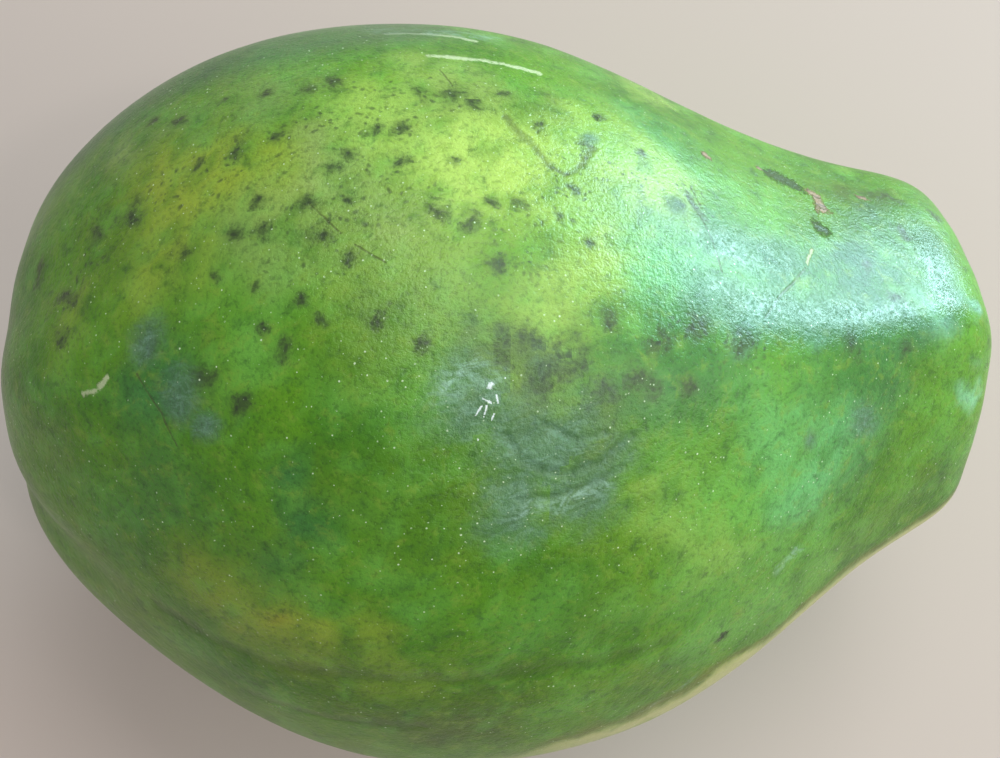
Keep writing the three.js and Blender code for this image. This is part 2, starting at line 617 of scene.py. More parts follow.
# name, direction from the fruit, distance and size in m, power in W, colour
LIGHTS = [
    ("window", (0.74, 0.66, 0.1), 1.4, (0.56, 0.37), 21.0, (0.56, 0.9, 1.0)),
    ("sky_beyond", (0.35, 0.4, 0.85), 1.2, (0.9, 0.6), 6.5, (0.98, 1.0, 1.0)),
    ("room_side", (0.95, -0.3, 0.6), 1.2, (0.9, 0.6), 5.0, (1.0, 1.0, 0.96)),
    ("ceiling_lamp", (0.5, -0.3, 0.8), 1.4, (0.1, 0.1), 1.5, (1.0, 1.0, 1.0)),
]
for row in LIGHTS:
    area_light(*row)

world = bpy.data.worlds.new("room")
world.use_nodes = True
world.node_tree.nodes["Background"].inputs["Color"].default_value = WORLD_COLOUR
world.node_tree.nodes["Background"].inputs["Strength"].default_value = WORLD_STRENGTH
bpy.context.scene.world = world

# %% [markdown]
# ## Places on the skin
#
# Marks that the picture shows are given as pixels. A ray from the camera through the pixel
# finds the point of the skin, in millimetres, so a mark sits on the fruit and not on the
# picture. Marks on the hidden sides are given by distance along the fruit and degrees
# round it from ridge one.

# %% Find places
mesh = papaya.data
FOCAL_PIXELS = LENS_MM / SENSOR_MM * PICTURE_WIDTH
PIXELS_PER_MM = 6.2
hit_tree = BVHTree.FromPolygons(
    [vertex.co for vertex in mesh.vertices], [face.vertices[:] for face in mesh.polygons]
)


def read(collection, field, width, kind=np.float32):
    """One field of every item of a mesh collection, as rows of numbers."""
    values = np.empty(len(collection) * width, dtype=kind)
    collection.foreach_get(field, values)
    return values.reshape(-1, width) if width > 1 else values


def cloud_of(name):
    return read(mesh.attributes[name].data, "vector", 3)


points = read(mesh.vertices, "co", 3) / MM
skin_along = read(mesh.attributes["along"].data, "value", 1)
skin_section = cloud_of("section")


def at_pixel(x, y):
    """The point of the skin, in mm, that the picture shows at that pixel."""
    across = (x - PICTURE_WIDTH / 2) / FOCAL_PIXELS
    down = (y - PICTURE_HEIGHT / 2) / FOCAL_PIXELS
    ray = (right * across - up * down - back).normalized()
    hit = hit_tree.ray_cast(camera.location, ray)[0]
    if hit is None:
        raise ValueError(f"pixel {x}, {y} misses the fruit")
    return np.array(hit) / MM


def at_section(along, degrees):
    """The point of the skin, in mm, at that distance from the tip and that angle."""
    angle = math.radians(degrees)
    sideways = skin_section[:, 0] * (skin_section[:, 1] - math.sin(angle))
    upward = skin_section[:, 0] * (skin_section[:, 2] - math.cos(angle))
    gap = (skin_along - along) ** 2 + sideways**2 + upward**2
    return points[np.argmin(gap)]


print("middle of the picture:", np.round(at_pixel(500, 379), 1))
print("back of the belly:", np.round(at_section(90, 180), 1))

# %% [markdown]
# ## Ripeness
#
# A ripening papaya is a patchwork: deep green where it is still hard, yellow-green and
# yellow where it softens, blue-green where its bloom has rubbed thin. These clouds are wide
# and soft, so they are painted on the points of the skin. Noise of three sizes shifts each
# place before its distance is taken, which tears the edges of every patch.

# %% Ripeness colours
DEEP_GREEN = srgb(60, 120, 14)
GREEN = srgb(90, 146, 14)
LIGHT_GREEN = srgb(108, 178, 68)
MINT = srgb(104, 186, 110)
# a pale mint that paints a reflection
PAINTED_REFLECTION_MINT = srgb(140, 206, 160)
SAGE = srgb(128, 156, 84)
BLUE_GREEN = srgb(46, 114, 64)
OLIVE = srgb(92, 132, 12)
DARK_OLIVE = srgb(68, 98, 8)
YELLOW_GREEN = srgb(178, 208, 96)
YELLOW = srgb(172, 188, 62)
ORANGE = srgb(156, 130, 0)
BROWN_GREEN = srgb(96, 116, 50)
DARK_GREEN = srgb(34, 90, 44)
# a pale blue-green that paints sheen
PAINTED_SHEEN_GREEN = srgb(140, 200, 184)
STRAW_GREEN = srgb(156, 178, 102)

# Soft patches: pixel, radius in pixels, colour, strength
PATCHES = [
    (260, 90, 90, SAGE, 0.6),
    (450, 85, 70, SAGE, 0.6),
    (140, 140, 60, SAGE, 0.45),
    (470, 150, 95, YELLOW_GREEN, 0.9),
    (370, 110, 60, YELLOW_GREEN, 0.6),
    (590, 270, 70, YELLOW_GREEN, 0.6),
    (630, 150, 90, YELLOW_GREEN, 0.6),
    (540, 330, 60, YELLOW_GREEN, 0.35),
    (400, 270, 100, YELLOW_GREEN, 0.4),
    (660, 290, 60, MINT, 0.6),
    (720, 250, 90, MINT, 0.4),
    (780, 260, 110, BLUE_GREEN, 0.6),
    (870, 280, 80, BLUE_GREEN, 0.6),
    (680, 140, 60, MINT, 0.35),
    (600, 130, 60, LIGHT_GREEN, 0.5),
    (200, 195, 90, YELLOW, 0.62),
    (290, 180, 60, YELLOW, 0.35),
    (160, 260, 70, YELLOW, 0.3),
    (110, 250, 50, OLIVE, 0.6),
    (70, 310, 40, YELLOW, 0.35),
    (250, 270, 90, LIGHT_GREEN, 0.35),
    (230, 600, 85, YELLOW, 0.5),
    (300, 645, 66, YELLOW, 0.6),
    (285, 632, 26, ORANGE, 0.5),
    (250, 625, 38, ORANGE, 0.25),
    (370, 655, 60, YELLOW, 0.35),
    (420, 500, 80, OLIVE, 0.4),
    (640, 600, 80, OLIVE, 0.3),
    (560, 560, 60, OLIVE, 0.2),
    (660, 540, 50, YELLOW_GREEN, 0.35),
    (300, 525, 55, BLUE_GREEN, 0.7),
    (160, 480, 60, BLUE_GREEN, 0.4),
    (165, 390, 60, BLUE_GREEN, 0.6),
    (120, 540, 70, BLUE_GREEN, 0.3),
    (360, 430, 55, DEEP_GREEN, 0.6),
    (420, 590, 60, DEEP_GREEN, 0.3),
    (870, 380, 100, BLUE_GREEN, 0.75),
    (700, 390, 70, BLUE_GREEN, 0.8),
    (780, 360, 60, BLUE_GREEN, 0.5),
    (50, 440, 60, SAGE, 0.3),
    (700, 330, 40, DEEP_GREEN, 0.5),
    (640, 380, 60, BLUE_GREEN, 0.4),
    (750, 500, 130, LIGHT_GREEN, 0.7),
    (820, 460, 80, MINT, 0.8),
    (760, 440, 60, MINT, 0.5),
    (870, 470, 36, BLUE_GREEN, 0.5),
    (700, 590, 80, LIGHT_GREEN, 0.7),
    (940, 440, 60, LIGHT_GREEN, 0.3),
    (700, 570, 60, YELLOW_GREEN, 0.3),
    (450, 720, 120, DARK_OLIVE, 0.7),
    (330, 700, 60, DARK_OLIVE, 0.5),
    # painted reflection on the shoulder by the stem end
    (976, 400, 34, PAINTED_REFLECTION_MINT, 0.9),
    (880, 200, 80, DEEP_GREEN, 0.8),
    (800, 160, 60, DEEP_GREEN, 0.6),
    (730, 180, 40, LIGHT_GREEN, 0.5),
    (523, 340, 40, BROWN_GREEN, 0.9),
    (523, 345, 40, DEEP_GREEN, 0.3),
    (600, 415, 45, BROWN_GREEN, 0.4),
    (330, 400, 50, DEEP_GREEN, 0.5),
    (700, 400, 60, DEEP_GREEN, 0.5),
    (850, 372, 60, DEEP_GREEN, 0.5),
    (850, 195, 60, BROWN_GREEN, 0.6),
    (850, 190, 60, DARK_OLIVE, 0.5),
    (860, 280, 60, DARK_GREEN, 0.65),
    (860, 210, 50, DARK_GREEN, 0.5),
    (790, 270, 50, DARK_GREEN, 0.35),
    (330, 160, 60, STRAW_GREEN, 0.6),
    (280, 225, 70, STRAW_GREEN, 0.4),
    (390, 200, 50, STRAW_GREEN, 0.4),
    (150, 150, 50, STRAW_GREEN, 0.4),
    (400, 300, 60, DEEP_GREEN, 0.35),
    (665, 215, 80, BLUE_GREEN, 0.55),
    (870, 250, 80, DARK_GREEN, 0.4),
    # painted sheen along the lower edge of the highlight on the neck
    (750, 336, 30, PAINTED_SHEEN_GREEN, 0.6),
    (810, 334, 24, PAINTED_SHEEN_GREEN, 0.5),
    (935, 332, 34, PAINTED_SHEEN_GREEN, 0.6),
    (982, 332, 26, PAINTED_SHEEN_GREEN, 0.8),
    (790, 570, 80, LIGHT_GREEN, 0.7),
    (745, 620, 60, LIGHT_GREEN, 0.6),
    (440, 735, 80, DARK_OLIVE, 0.7),
    (655, 95, 40, YELLOW_GREEN, 0.5),
    (430, 80, 60, YELLOW_GREEN, 0.4),
    (540, 150, 90, YELLOW_GREEN, 0.45),
    (560, 100, 50, YELLOW_GREEN, 0.45),
    (640, 190, 70, YELLOW_GREEN, 0.4),
    (560, 620, 60, LIGHT_GREEN, 0.4),
    (930, 475, 40, BLUE_GREEN, 0.4),
    (530, 95, 36, BROWN_GREEN, 0.55),
    (455, 95, 50, BROWN_GREEN, 0.3),
]
print("patches that the picture shows:", len(PATCHES))

# %% [markdown]
# ### Painting the patches
#
# A brush could paint these patches by hand. Painting by rule gives the same result each time
# the script runs. Layers of noise first break up the ground, then each patch is laid over it,
# and patches drawn at random finish the sides that the picture doesn't show.


# %% Paint the ripeness
HIDDEN_PATCHES = 44
HIDDEN_ALONG = (15, 160)  # mm from the blossom tip
HIDDEN_ANGLES = (95, 275)  # degrees from ridge one
WANDER = (26, 22, 9)  # how far each size of cloud shifts a place, in mm
PATCH_CORE = 0.2  # full strength up to this share of the radius
PATCH_REACH = 1.35  # no paint beyond this share


def ease(values, low, high):
    """0 below low, 1 above high, eased between; high may be the smaller."""
    share = np.clip((values - low) / (high - low), 0, 1)
    return share * share * (3 - 2 * share)


def lay(ground, colour, amount):
    amount = amount[:, None]
    return ground * (1 - amount) + np.array(colour) * amount


large_cloud = cloud_of("large_cloud")
cloud = cloud_of("cloud")
small_cloud = cloud_of("small_cloud")
wandered = points + WANDER[0] * large_cloud + WANDER[1] * cloud + WANDER[2] * small_cloud

ripeness = np.tile(np.array(GREEN), (len(points), 1))
ripeness = lay(ripeness, DEEP_GREEN, 0.8 * ease(large_cloud[:, 0], -0.04, 0.14))
ripeness = lay(ripeness, LIGHT_GREEN, 0.5 * ease(cloud[:, 1], 0.0, 0.16))
ripeness = lay(ripeness, OLIVE, 0.5 * ease(cloud[:, 2], 0.02, 0.16))
hidden = np.random.default_rng(5)
tints = [YELLOW_GREEN, YELLOW, OLIVE, BLUE_GREEN, LIGHT_GREEN, YELLOW_GREEN]
for index in range(HIDDEN_PATCHES):
    place = at_section(hidden.uniform(*HIDDEN_ALONG), hidden.uniform(*HIDDEN_ANGLES))
    radius = hidden.uniform(30, 90)
    PATCHES.append((*place, radius, tints[index % len(tints)], hidden.uniform(0.4, 0.85)))
for *place, radius, tint, strength in PATCHES:
    size = radius / PIXELS_PER_MM
    middle = at_pixel(*place) if len(place) == 2 else np.array(place)
    off = np.linalg.norm(wandered - middle, axis=1)
    amount = strength * ease(off, PATCH_REACH * size, PATCH_CORE * size)
    ripeness = lay(ripeness, tint, amount)
ripeness = lay(ripeness, DEEP_GREEN, 0.5 * ease(small_cloud[:, 0], 0.0, 0.18))
ripeness = lay(ripeness, LIGHT_GREEN, 0.35 * ease(small_cloud[:, 1], 0.02, 0.18))
paint = mesh.attributes.new("ripeness", "FLOAT_COLOR", "POINT")
paint.data.foreach_set("color", ripeness.astype(np.float32).ravel())
print("patches of ripeness:", len(PATCHES))

# %% [markdown]
# ## Marks
#
# A freckle or a scratch is thinner than the mesh is fine, so its colour can't be painted on
# points. What can is where it lies: every corner of every face stores the way to the face's
# nearest mark, divided by the mark's size. That is a straight-line function, so it stays
# exact inside the face, and the shader draws as sharp an edge as it likes from its length.

# %% Store the way to the nearest mark
corner_point = read(mesh.loops, "vertex_index", 1, np.int32)
corners_per_face = read(mesh.polygons, "loop_total", 1, np.int32)
corner_face = np.repeat(np.arange(len(mesh.polygons)), corners_per_face)
face_middles = read(mesh.polygons, "center", 3) / MM
normals = read(mesh.vertex_normals, "vector", 3)[corner_point]
corner_places = points[corner_point]


def store_marks(name, strokes):
    """Stores the way to the nearest stroke of (half width in pixels, pixels or points...)."""
    starts, ends, widths = [], [], []
    for half_width, *places in strokes:
        row = [at_pixel(*place) if len(place) == 2 else place for place in places]
        for start, end in zip(row, row[1:] or row):
            starts.append(start)
            ends.append(end)
            widths.append(half_width / PIXELS_PER_MM)
    starts, ends, widths = np.array(starts), np.array(ends), np.array(widths)
    runs = ends - starts
    lengths = np.maximum((runs**2).sum(1), 1e-9)
    best = np.full(len(face_middles), np.inf)
    nearest = np.zeros(len(face_middles), dtype=int)
    for index, (start, run, length, width) in enumerate(zip(starts, runs, lengths, widths)):
        share = np.clip((face_middles - start) @ run / length, 0, 1)
        off = np.linalg.norm(face_middles - start - share[:, None] * run, axis=1) / width
        closer = off < best
        best[closer] = off[closer]
        nearest[closer] = index
    pick = nearest[corner_face]
    share = ((corner_places - starts[pick]) * runs[pick]).sum(1) / lengths[pick]
    middle = face_middles - starts[nearest]
    middle_share = ((middle * runs[nearest]).sum(1) / lengths[nearest])[corner_face]
    share = np.where(middle_share <= 0, 0, np.where(middle_share >= 1, 1, share))
    way = corner_places - starts[pick] - share[:, None] * runs[pick]
    way -= normals * (way * normals).sum(1)[:, None]
    way /= widths[pick][:, None]
    attribute = mesh.attributes.new(name, "FLOAT_VECTOR", "CORNER")
    attribute.data.foreach_set("vector", way.astype(np.float32).ravel())
    print(name, len(widths))


# %% [markdown]
# ### Freckles
#
# Small dark spots gather on the ripening side. Each spot that the picture shows gets a row:
# its half width in pixels, then its pixel. More are drawn at random over the hidden sides.

# %% Freckles
FRECKLES = [
    (13, (239, 147)),
    (9, (277, 135)),
    (8, (198, 163)),
    (12, (332, 83)),
    (8, (309, 89)),
    (8, (265, 95)),
    (6, (226, 100)),
    (10, (180, 122)),
    (7, (155, 120)),
    (10, (402, 128)),
    (8, (378, 126)),
    (10, (402, 160)),
    (9, (348, 153)),
    (9, (335, 166)),
    (11, (236, 230)),
    (11, (261, 230)),
    (8, (255, 201)),
    (12, (312, 204)),
    (10, (319, 235)),
    (14, (185, 255)),
    (9, (348, 258)),
    (16, (376, 316)),
    (9, (319, 319)),
    (10, (284, 350)),
    (10, (440, 214)),
    (10, (472, 220)),
    (7, (494, 201)),
    (11, (497, 261)),
    (12, (242, 403)),
    (11, (695, 332)),
    (8, (679, 204)),
    (9, (689, 389)),
    (6, (253, 287)),
    (7, (262, 330)),
    (13, (420, 92)),
    (15, (455, 95)),
    (11, (470, 105)),
    (9, (505, 95)),
    (16, (127, 215)),
    (12, (98, 230)),
    (16, (40, 270)),
    (16, (70, 300)),
    (12, (60, 345)),
    (10, (500, 330), (502, 362)),
    (18, (530, 342)),
    (26, (560, 375)),
    (20, (600, 395)),
    (9, (585, 145)),
    (9, (540, 130)),
    (7, (600, 117)),
    (7, (640, 155)),
    (9, (725, 635)),
    (7, (590, 245)),
    (9, (610, 320)),
    (10, (655, 345)),
    (16, (738, 345)),
    (14, (700, 322)),
    (6, (686, 192), (704, 220)),
    (12, (665, 340)),
    (13, (850, 345)),
    (12, (905, 348)),
    (18, (880, 195)),
    (12, (932, 214)),
    (9, (903, 232)),
    (14, (640, 380)),
    (12, (900, 300)),
    (10, (868, 268)),
    (12, (200, 380)),
    (9, (150, 350)),
    (12, (560, 350)),
    (9, (420, 345)),
    (7, (300, 300)),
    (7, (215, 275)),
    (6, (350, 200)),
    (7, (455, 160)),
    (6, (560, 215)),
    (7, (520, 205)),
    (7, (575, 190)),
]
HIDDEN_FRECKLES = 220
HIDDEN_PRICKS = 24
HIDDEN_SCARS = 7
FAR_SIDE = (85, 285)  # degrees from ridge one

scatter = np.random.default_rng(11)
for _ in range(HIDDEN_FRECKLES):
    # more of them on the far side, thinning out towards the stem
    place = at_section(10 + 150 * scatter.random() ** 1.5, scatter.uniform(*FAR_SIDE))
    FRECKLES.append((4 + 12 * scatter.random() ** 2, place))
hidden_pricks = []
for _ in range(HIDDEN_PRICKS):
    half_width = scatter.uniform(2, 5)
    place = at_section(scatter.uniform(10, 165), scatter.uniform(*FAR_SIDE))
    hidden_pricks.append((half_width, place))
hidden_scars = []
for _ in range(HIDDEN_SCARS):
    scar_along = scatter.uniform(30, 150)
    scar_turn = scatter.uniform(100, 270)
    far_end = at_section(
        scar_along + scatter.uniform(4, 14), scar_turn + scatter.uniform(-6, 6)
    )
    hidden_scars.append(
        (scatter.uniform(1.5, 3), at_section(scar_along, scar_turn), far_end)
    )
print("freckles:", len(FRECKLES))

# %% [markdown]
# ### Lines
#
# Folds, scratches and wrinkles are lines: a half width in pixels, then the pixels that the
# line runs through.

# %% Folds, scratches and wrinkles
# furrows between the lobes, darkened with painted shade
FOLDS = [
    (9, (160, 606), (215, 640), (274, 663), (345, 674), (415, 679), (480, 677)),
    (9, (480, 677), (542, 670), (610, 658), (670, 640)),
    (8, (255, 695), (300, 710), (357, 721), (420, 726)),
]
SCRATCHES = [
    (1.0, (310, 205), (340, 233)),
    (1.0, (355, 245), (385, 262)),
    (1.2, (700, 215), (712, 240), (722, 272)),
    (1.2, (690, 185), (702, 208)),
    (1.4, (765, 318), (785, 292), (805, 268)),
    (1.1, (138, 375), (160, 412), (175, 442)),
    (5.0, (506, 118), (522, 136), (537, 152), (552, 168)),
    (4.0, (552, 168), (566, 174), (584, 164), (594, 148)),
    (1.1, (440, 70), (452, 86)),
]
WRINKLES = [
    (4, (505, 436), (520, 458), (540, 470), (565, 474), (600, 462), (632, 436)),
    (3.5, (520, 500), (555, 496), (590, 486), (622, 466)),
    (3.5, (545, 424), (575, 440), (604, 432)),
]
print("lines:", len(FOLDS) + len(SCRATCHES) + len(WRINKLES))

# %% [markdown]
# ### Patches
#
# Scuffs and painted glints, peppered skin, rubbed skin grey partly with painted sheen, waxy
# bloom and the gloss at the highlights are wide rows of the same kind, so one rule stores them
# all.

# %% Scuffs and painted glints, bloom and other patches
# pale streaks: painted highlights on the top and lower edges and the rubbed patch, and a scuff
SCUFFS_AND_GLINTS = [
    (12, (370, 31), (430, 32), (490, 38)),
    (4, (640, 713), (668, 697), (698, 675)),
    (7, (780, 567), (798, 551)),
    (7, (515, 512), (560, 503), (605, 488)),
    (14, (440, 392), (462, 376), (484, 370)),
]
PEPPERED = [
    (75, (200, 190), (300, 130), (420, 100)),
    (60, (300, 240), (400, 170)),
    (45, (70, 290), (110, 230)),
    (45, (520, 250), (600, 160), (700, 200)),
    (40, (690, 320), (760, 345)),
]
GLOSSY = [
    (24, (936, 275), (944, 300)),
    (9, (489, 384), (490, 412)),
]
# rubbed skin, its grey partly a painted reflection of the room
RUBBED_AND_SHEEN = [
    (80, (545, 430)),
    (50, (470, 395)),
    (60, (590, 480)),
    (45, (520, 500)),
    (26, (152, 338)),
    (30, (182, 398)),
    (20, (206, 426)),
    (12, (810, 435)),
    (28, (860, 420)),
    (18, (672, 207)),
    (12, (592, 135)),
]
BLOOM = [
    (34, (700, 292), (750, 314), (840, 320), (910, 322)),
    (38, (720, 245), (780, 252)),
    (32, (928, 240), (946, 300)),
]
print("patches:", len(SCUFFS_AND_GLINTS) + len(PEPPERED) + len(GLOSSY) + len(RUBBED_AND_SHEEN) + len(BLOOM))

# %% [markdown]
# ### Scars and crumbs
#
# Healed cuts are pale, crumbs of cork are brown and pits are dark. White flecks in the
# middle and a pale band along the top edge are painted highlights. They are small and crisp,
# so each is placed where the picture has it.

# %% Scars, crumbs and painted glints
SCARS_AND_GLINT = [
    (4.2, (430, 56), (465, 59), (500, 64), (538, 73)),
    # not a scar: a painted highlight along the top edge
    (4.5, (385, 34), (430, 34), (476, 41)),
    (3.6, (84, 394), (96, 390), (106, 379)),
    (2.4, (812, 250), (807, 263)),
    *hidden_scars,
]
CORK_SPOTS = [
    (9, (812, 194), (819, 203), (824, 212)),
    (8, (862, 197)),
    (7, (708, 157)),
    (6, (757, 167)),
]
DARK_SPOTS = [
    (11, (822, 228)),
    (13, (770, 174), (794, 185)),
    (5, (725, 633)),
    (4, (596, 118)),
    *hidden_pricks,
]
# painted highlights: white specks where light sparkles on the skin
PAINTED_GLINTS = [
    (3.0, (490, 386)),
    (1.1, (483, 399), (490, 402)),
    (0.9, (477, 414), (481, 407)),
    (0.9, (486, 409), (484, 417)),
    (0.9, (494, 414), (490, 422)),
    (0.8, (498, 403), (497, 398)),
    (0.8, (503, 379), (505, 378)),
    (0.8, (478, 440)),
]

marks = {
    "freckle": FRECKLES,
    "fold": FOLDS,
    "scratch": SCRATCHES,
    "wrinkle": WRINKLES,
    "glossy": GLOSSY,
    "scuff": SCUFFS_AND_GLINTS,
    "latex": PAINTED_GLINTS,
    "peppered": PEPPERED,
    "rubbed": RUBBED_AND_SHEEN,
    "bloom": BLOOM,
    "scar_and_glint": SCARS_AND_GLINT,
    "cork_spot": CORK_SPOTS,
    "dark_spot": DARK_SPOTS,
}
for name, strokes in marks.items():
    store_marks(name, strokes)

# %% [markdown]
# ## The skin's shader
#
# The shader lays the marks over the ripeness in the order in which they form on the fruit,
# and adds what is too fine to store: mottle, specks and pores.

# %% Shader helpers
skin_material.node_tree.nodes.clear()
shade = Graph(skin_material.node_tree)


def stored(name, out="Vector"):
    return shade.node("ShaderNodeAttribute", {"attribute_name": name}, out=out)


def noise(where, size, detail, roughness):
    """Noise of that feature size in mm."""
    inputs = {"Vector": where, "Scale": 1 / size, "Detail": detail, "Roughness": roughness}
    return shade.node("ShaderNodeTexNoise", inputs=inputs)


def cells(where, size):
    """Distance to the nearest of many scattered points, in cells of that size in mm."""
    return shade.node("ShaderNodeTexVoronoi", inputs={"Vector": where, "Scale": 1 / size})


def channels(colour):
    return shade.node("ShaderNodeSeparateColor", inputs=[colour])


def mark(name, jitter, amount):
    """Distance to the nearest mark of that name, as a share of its size, edges torn."""
    way = stored(name).vector("ADD", jitter.scaled(amount))
    return way.vector("LENGTH", out="Value")


print("stored on the skin:", [layer.name for layer in mesh.attributes])

# %% [markdown]
# ### Ground colour
#
# Under every mark lies the ripeness, broken up by a mottle of light and dark flecks 3 mm
# wide and a grain under a millimetre. The grain's low points are darkened with painted shade,
# which keeps the green from looking like paint.

# %% Ground colour
PALE_FLECK = srgb(126, 160, 50)
DARK_FLECK = srgb(38, 84, 28)
GRAIN_SHADE = (0, 0, 0, 1)
MOTTLE_SIZE = 3.0
GRAIN_SIZE = 0.8
RAGGED_REACH = 6.0  # mm by which the smallest clouds shift a fleck

here = shade.node("ShaderNodeTexCoord", out="Object").scaled(1 / MM)
along = stored("along", "Fac")
section = stored("section").split()
reach = section["X"]
turn = section["Y"].math("ARCTAN2", section["Z"]) * (180 / math.pi)
clouds = stored("cloud")
cloud_parts = clouds.split()
small_clouds = stored("small_cloud")

ragged = here.vector("ADD", small_clouds.scaled(RAGGED_REACH))

colour = stored("ripeness", "Color")
mottle = noise(ragged, MOTTLE_SIZE, 5, 0.65)
grain = noise(here, GRAIN_SIZE, 3, 0.7)
colour = colour.paint(PALE_FLECK, mottle.smooth(0.5, 0.72) * 0.5)
colour = colour.paint(DARK_FLECK, mottle.smooth(0.28, 0.48, 1, 0) * 0.5)
# painted shade in the low points of the grain
colour = colour.paint(GRAIN_SHADE, grain.smooth(0.3, 0.52, 0.3, 0))
print("ground: mottle of", MOTTLE_SIZE, "mm, grain of", GRAIN_SIZE, "mm")

# %% [markdown]
# ### Freckles, folds and scratches
#
# Ripe spots start as clusters of dark specks that run together. Each has a soft halo, a
# torn body and a core of specks from a cell pattern, which also peppers the skin between
# them. Where two lobes meet the skin is pinched into a soft fold, darkened with painted shade,
# and thin scratches healed as dark lines.

# %% Freckles, folds and scratches
SPECK_SIZE = 1.1
FRECKLE_HALO = srgb(74, 100, 42)
FRECKLE_BODY = srgb(54, 76, 36)
FRECKLE_CORE = srgb(46, 60, 36)
FOLD_SHADE = srgb(54, 88, 18)
SCRATCH_COLOUR = srgb(72, 80, 40)
WRINKLE_COLOUR = srgb(50, 84, 54)

specks = cells(ragged, SPECK_SIZE)
speck_kind = channels(specks["Color"])
specks = specks.smooth(0.15, 0.6, 1, 0)
pepper = specks * speck_kind["Red"].smooth(0.7, 0.85)
pepper = pepper * mark("peppered", clouds, 1.5).smooth(0.2, 1.3, 1, 0)
off_freckle = mark("freckle", small_clouds, 4.5)
halo = off_freckle.smooth(0.1, 2.0, 0.5, 0)
ragged_edge = grain * 2 - 1
body = (off_freckle + ragged_edge).smooth(0.0, 1.3, 0.8, 0)
core = off_freckle.smooth(0.2, 1.5, 1, 0) * specks
colour = colour.paint(FRECKLE_HALO, halo)
colour = colour.paint(FRECKLE_BODY, body)
colour = colour.paint(FRECKLE_CORE, core.most(pepper * 0.8) * 0.8)
# painted shade in the folds between the lobes
fold = mark("fold", small_clouds, 2.5).smooth(0.0, 1.8, 1, 0)
colour = colour.paint(FOLD_SHADE, fold * 0.45)
scratch = mark("scratch", small_clouds, 5).smooth(0.3, 1.8, 1, 0)
colour = colour.paint(SCRATCH_COLOUR, scratch * 0.6)
wrinkle = mark("wrinkle", small_clouds, 2).smooth(0.1, 2.0, 1, 0)
colour = colour.paint(WRINKLE_COLOUR, wrinkle * 0.35)
print("nodes after the lines:", len(shade.tree.nodes))

# %% [markdown]
# ### Bloom, and rubbed patches with painted sheen
#
# Waxy bloom lies on the neck in clots, darker green beneath and shinier on top. Where the
# skin was rubbed it has turned grey-green, with fine dry fibres, and its grey is partly a
# painted reflection of the room. Noise squeezed along one axis makes the fibres.

# %% Bloom, and rubbed patches with painted sheen
BLOOM_GROUND = srgb(40, 100, 60)
DRY_SKIN_AND_SHEEN = srgb(74, 112, 82)
DRY_FIBRE = srgb(136, 178, 156)
FIBRE_STRETCH = (0.3, 1, 1)

bloom = mark("bloom", clouds, 1.5).smooth(0.2, 1.3, 1, 0)
clotted = grain.smooth(0.32, 0.64) * mottle.smooth(0.35, 0.6, 0.3, 1)
colour = colour.paint(BLOOM_GROUND, bloom * 0.6)
fibres = noise(ragged.vector("MULTIPLY", FIBRE_STRETCH), 1.0, 3, 0.7)
# rubbed skin, grey-green partly as painted reflection
rubbed = mark("rubbed", clouds, 2.6).smooth(0.1, 1.35, 1, 0)
colour = colour.paint(DRY_SKIN_AND_SHEEN, rubbed * 0.8)
frayed = rubbed * fibres.smooth(0.4, 0.68)
colour = colour.paint(DRY_FIBRE, frayed * 0.34)
print("nodes after the rubbed patches:", len(shade.tree.nodes))

# %% [markdown]
# ### Scars, crumbs and flecks
#
# Healed cuts are pale and raised, crumbs of cork are cracked, and dark pits mark where the
# skin was pricked. Pale streaks and white specks are painted highlights, and a greyer band
# along one edge is a painted reflection. The grain tears the edge of each, because a clean
# edge looks painted on.

# %% Scars, crumbs and flecks
PIT_COLOUR = srgb(34, 62, 24)
HEALED_CUT_AND_GLINT = srgb(206, 216, 172)
CORK = srgb(176, 144, 122)
CORK_CRACK = srgb(86, 72, 50)
SCUFF_AND_GLINT_COLOUR = srgb(172, 212, 192)
PAINTED_GLINT_WHITE = srgb(236, 248, 246)
EDGE_REFLECTION_GREY = srgb(72, 98, 76)

torn = grain * 2.4 - 1.2
dark_spot = (mark("dark_spot", small_clouds, 3) + torn).smooth(0.5, 1.4, 1, 0)
colour = colour.paint(PIT_COLOUR, dark_spot * 0.85)
# pale healed cuts, and one painted highlight band along the top edge
scar_and_glint = (mark("scar_and_glint", small_clouds, 3) + torn).smooth(0.4, 1.3, 1, 0)
colour = colour.paint(HEALED_CUT_AND_GLINT, scar_and_glint * 0.7)
cork_spot = (mark("cork_spot", small_clouds, 3.5) + torn).smooth(0.5, 1.2, 1, 0)
colour = colour.paint(CORK, cork_spot * 0.9)
colour = colour.paint(CORK_CRACK, cork_spot * fibres.smooth(0.42, 0.54, 0.8, 0))
# pale streaks: painted highlights where light glints, and a scuff
scuff = mark("scuff", small_clouds, 4).smooth(0.0, 1.8, 1, 0) * fibres.smooth(0.34, 0.72)
colour = colour.paint(SCUFF_AND_GLINT_COLOUR, scuff * 0.45)
# painted highlight: white specks where light sparkles
latex = (mark("latex", small_clouds, 2) + torn * 1.5).smooth(0.5, 1.3, 1, 0)
colour = colour.paint(PAINTED_GLINT_WHITE, latex * 0.85)
# painted reflection: greyer green near the blossom end, on the side turning from the camera
edge_reflection = turn.smooth(-54, -64) * along.smooth(4, 14) * along.smooth(70, 90, 1, 0)
colour = colour.paint(EDGE_REFLECTION_GREY, edge_reflection * 0.6)
print("nodes after the scars:", len(shade.tree.nodes))

# %% [markdown]
# ### Pale underside, a painted reflection
#
# Past ridge two the skin is painted straw yellow along the ridge, a painted reflection of the
# warm table, then yellow-green, with a thin brown border.

